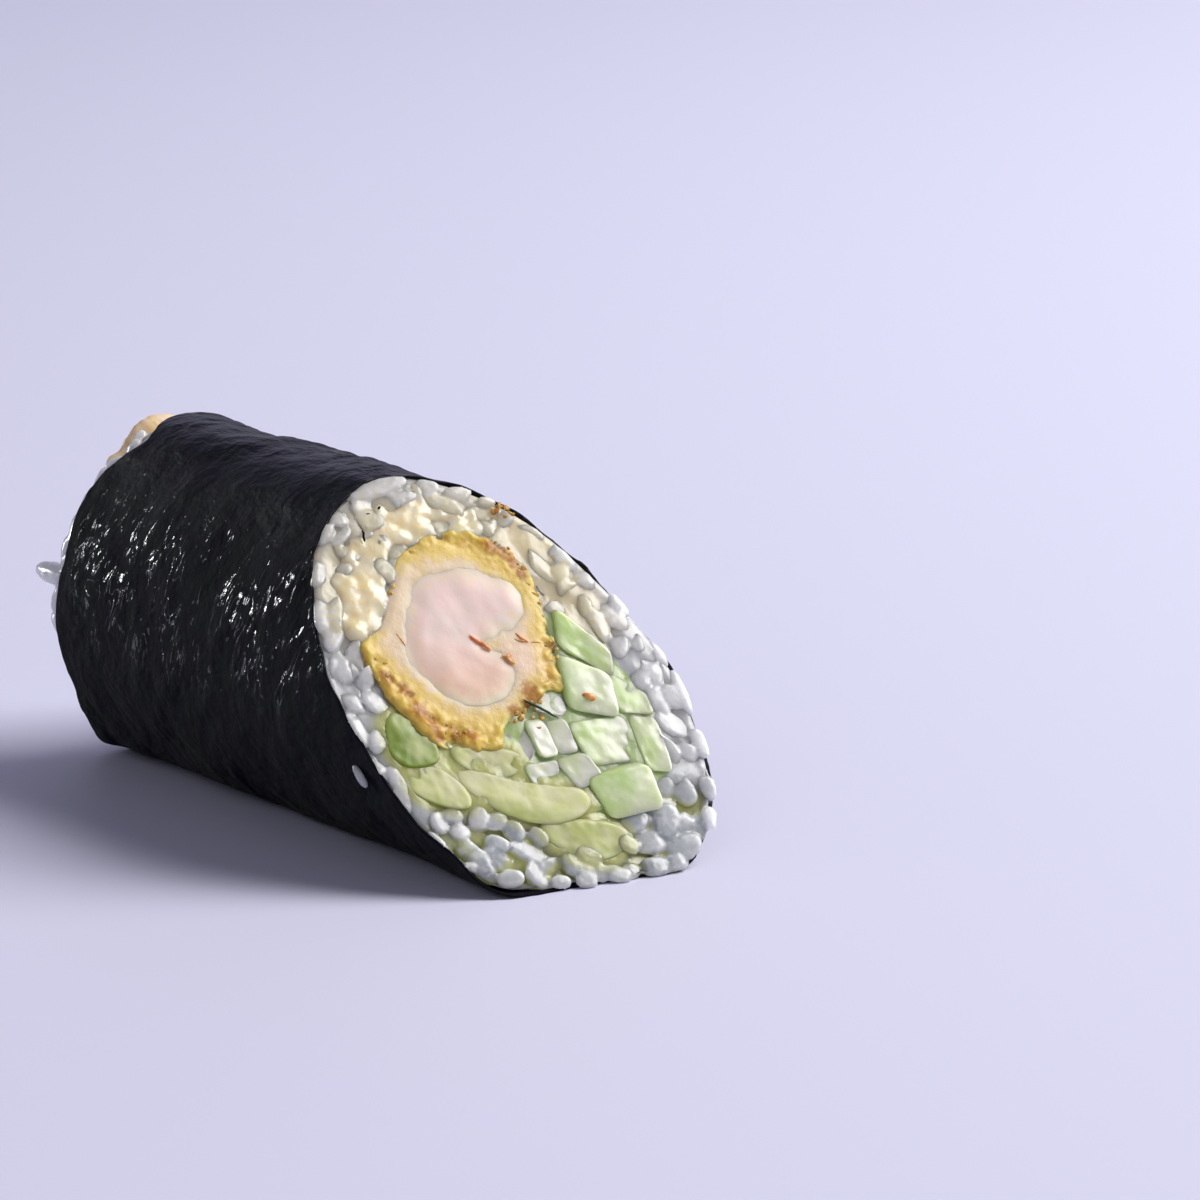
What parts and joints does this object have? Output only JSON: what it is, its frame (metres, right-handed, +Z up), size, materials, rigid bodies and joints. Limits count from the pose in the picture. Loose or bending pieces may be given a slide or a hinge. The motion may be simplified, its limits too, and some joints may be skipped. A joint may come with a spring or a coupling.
{
  "type": "shrimp tempura hand roll half",
  "caption": "Half of a nori hand roll cut on the slant, lying on its side, filled with rice, batter-fried shrimp, creamy sauce, cucumber and avocado.",
  "frame": {"origin": "middle of the bounding box on the table that the roll lies on", "axes": "+X along the roll towards the slanted cut, +Y across it, +Z up"},
  "size_m": [0.0882, 0.0415, 0.0405],
  "materials": {
    "nori": "dried seaweed sheet, near black with a satin gloss and fine creases",
    "rice": "moist cooked rice grains, translucent white",
    "shrimp_meat": "cooked shrimp meat, pale pink and moist",
    "fried_crust": "golden fried batter with browned crumbs",
    "sauce": "glossy creamy sauce",
    "cucumber": "wet cut cucumber flesh, pale translucent green",
    "avocado": "soft ripe avocado flesh, yellow green, darker under the skin side"
  },
  "bodies": {
    "root": {"nori": "nori", "rice": "rice", "shrimp": "shrimp_meat", "fried_crust": "fried_crust", "sauce": "sauce", "cucumber_1": "cucumber", "cucumber_2": "cucumber", "cucumber_3": "cucumber", "cucumber_4": "cucumber", "cucumber_5": "cucumber", "cucumber_6": "cucumber", "cucumber_7": "cucumber", "cucumber_8": "cucumber", "cucumber_9": "cucumber", "cucumber_10": "cucumber", "cucumber_11": "cucumber", "cucumber_12": "cucumber", "avocado_1": "avocado", "avocado_2": "avocado", "avocado_3": "avocado", "avocado_4": "avocado", "avocado_5": "avocado"}
  },
  "joints": []
}
